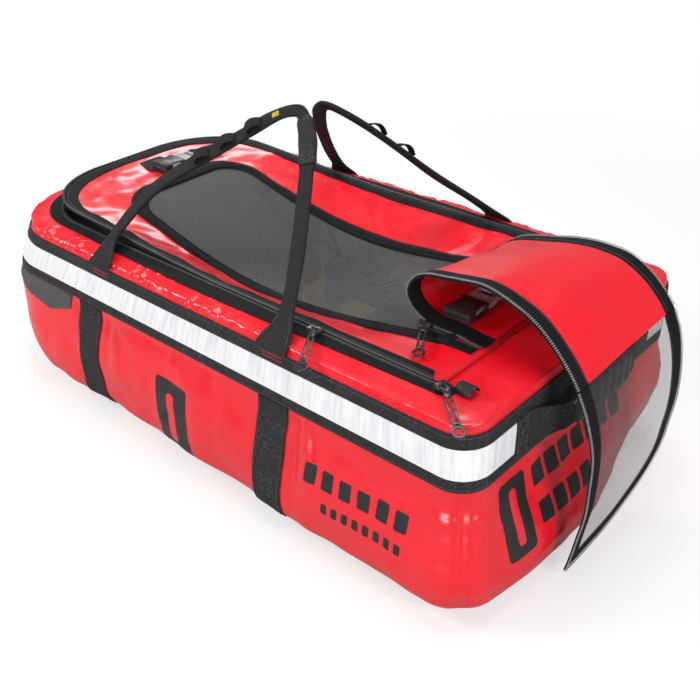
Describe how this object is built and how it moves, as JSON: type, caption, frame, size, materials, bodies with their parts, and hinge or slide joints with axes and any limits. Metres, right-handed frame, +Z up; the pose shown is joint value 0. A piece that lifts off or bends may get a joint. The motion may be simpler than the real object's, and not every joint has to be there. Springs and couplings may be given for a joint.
{
  "type": "child rescue bag",
  "caption": "Soft rescue bag for a small child: red coated-fabric tub, zipped lid with a mesh window, folded-back rain flap, carrying slings and an inner harness.",
  "frame": {"origin": "middle of the whole object's box in X and Y, on the floor it stands on", "axes": "+X along the bag, towards the end the window flap hangs over; +Y towards the side with no slider pulls; +Z up"},
  "size_m": [0.977, 0.4892, 0.4494],
  "materials": {
    "red_tarpaulin": "coated fabric with a soft gloss",
    "black_webbing": "woven polyester webbing",
    "black_zip_tape": "coil zip and binding tape",
    "reflective_tape": "silver retroreflective tape",
    "grey_mesh": "open coated mesh",
    "clear_film": "clear flexible film",
    "black_plastic": "moulded",
    "grey_plastic": "moulded",
    "zip_metal": "black coated die casting",
    "khaki_webbing": "woven webbing",
    "dark_lining": "lining cloth over foam",
    "base_sheet": "stiff sheet"
  },
  "bodies": {
    "bag": {"tub_shell": "red_tarpaulin", "band_webbing": "black_webbing", "reflective_tape": "reflective_tape", "under_strap_left": "black_webbing", "under_strap_right": "black_webbing", "body_zip_tape": "black_zip_tape", "zip_end_tab_near": "black_webbing", "zip_end_tab_far": "black_webbing", "handle_tab_near": "black_webbing", "handle_tab_far": "black_webbing", "vent_patch": "grey_mesh", "base_board": "base_sheet", "mattress_pad": "dark_lining", "harness_pad": "khaki_webbing", "shoulder_strap_near": "khaki_webbing", "shoulder_strap_far": "khaki_webbing", "waist_strap_near": "khaki_webbing", "waist_strap_far": "khaki_webbing", "crotch_strap": "khaki_webbing", "harness_buckle_female": "black_plastic"},
    "lid": {"lid_frame": "red_tarpaulin", "mesh_window": "grey_mesh", "window_binding": "black_zip_tape", "lid_zip_tape": "black_zip_tape", "flap_root": "red_tarpaulin", "flap_root_tape_near": "black_zip_tape", "flap_root_tape_far": "black_zip_tape", "left_buckle_patch": "black_webbing", "left_buckle_female": "black_plastic", "curl_buckle_patch": "black_webbing", "curl_buckle_female": "black_plastic"},
    "flap": {"flap_panel": "red_tarpaulin", "flap_panel_tape_near": "black_zip_tape", "flap_panel_tape_far": "black_zip_tape"},
    "tail": {"clear_tail": "clear_film", "tail_tape": "black_zip_tape"},
    "near_sling": {"near_sling": "black_webbing", "sling_keeper": "black_webbing"},
    "far_sling": {"far_sling": "black_webbing"},
    "left_buckle": {"left_buckle_male": "grey_plastic", "left_buckle_webbing": "black_webbing"},
    "curl_buckle": {"curl_buckle_male": "grey_plastic", "curl_buckle_webbing": "black_webbing"},
    "harness_buckle": {"harness_buckle_male": "grey_plastic", "harness_buckle_webbing": "black_webbing"},
    "right_slider": {"lid_slider_right": "zip_metal"},
    "right_pull": {"lid_slider_right_pull": "zip_metal"},
    "left_slider": {"lid_slider_left": "zip_metal"},
    "left_pull": {"lid_slider_left_pull": "zip_metal"},
    "flap_slider": {"flap_slider": "zip_metal"},
    "flap_pull": {"flap_slider_pull": "zip_metal"},
    "end_handle": {"end_handle": "black_webbing", "end_handle_grip": "black_plastic"}
  },
  "joints": [
    {"name": "end_handle_swing", "type": "hinge", "parent": "bag", "child": "end_handle", "pos_m": [0.41865, 0, 0.23], "axis": [0, -1, 0], "range_deg": [0, 60]},
    {"name": "lid_hinge", "type": "hinge", "parent": "bag", "child": "lid", "pos_m": [0.35005, 0, 0.2635], "axis": [0, 1, 0], "range_deg": [0, 50]},
    {"name": "flap_fold", "type": "hinge", "parent": "lid", "child": "flap", "pos_m": [0.3172, 0, 0.3374], "axis": [0, -1, 0], "range_deg": [0, 50]},
    {"name": "tail_swing", "type": "hinge", "parent": "flap", "child": "tail", "pos_m": [0.46825, 0, 0.275], "axis": [0, -1, 0], "range_deg": [0, 60]},
    {"name": "near_sling_swing", "type": "hinge", "parent": "bag", "child": "near_sling", "pos_m": [-0.03495, -0.22285, 0.24609], "axis": [1, 0, 0], "range_deg": [0, 165]},
    {"name": "far_sling_swing", "type": "hinge", "parent": "bag", "child": "far_sling", "pos_m": [-0.03495, 0.22285, 0.24609], "axis": [-1, 0, 0], "range_deg": [0, 165]},
    {"name": "left_buckle_release", "type": "slide", "parent": "lid", "child": "left_buckle", "axis": [0, 1, 0], "range_m": [0, 0.034]},
    {"name": "curl_buckle_release", "type": "slide", "parent": "lid", "child": "curl_buckle", "axis": [0, 1, 0], "range_m": [0, 0.034]},
    {"name": "harness_buckle_release", "type": "slide", "parent": "bag", "child": "harness_buckle", "axis": [-1, 0, 0], "range_m": [0, 0.034]},
    {"name": "right_slider_run", "type": "slide", "parent": "bag", "child": "right_slider", "axis": [-1, 0, 0], "range_m": [0, 0.06]},
    {"name": "right_pull_swing", "type": "hinge", "parent": "right_slider", "child": "right_pull", "pos_m": [0.36653, -0.19191, 0.26861], "axis": [-0.6157, -0.788, 0], "range_deg": [0, 80]},
    {"name": "left_slider_run", "type": "slide", "parent": "bag", "child": "left_slider", "axis": [1, 0, 0], "range_m": [0, 0.08]},
    {"name": "left_pull_swing", "type": "hinge", "parent": "left_slider", "child": "left_pull", "pos_m": [0.1815, -0.19288, 0.26862], "axis": [-0.8829, -0.4695, 0], "range_deg": [0, 80]},
    {"name": "flap_slider_run", "type": "slide", "parent": "lid", "child": "flap_slider", "axis": [1, 0, 0], "range_m": [0, 0.055]},
    {"name": "flap_pull_swing", "type": "hinge", "parent": "flap_slider", "child": "flap_pull", "pos_m": [0.27239, -0.10935, 0.27037], "axis": [-0.848, -0.5299, 0], "range_deg": [0, 80]}
  ],
  "couplings": [
    {"joint": "flap_fold", "follows": "lid_hinge", "ratio": 1},
    {"joint": "near_sling_swing", "follows": "lid_hinge", "ratio": 3.3},
    {"joint": "far_sling_swing", "follows": "lid_hinge", "ratio": 3.3}
  ]
}
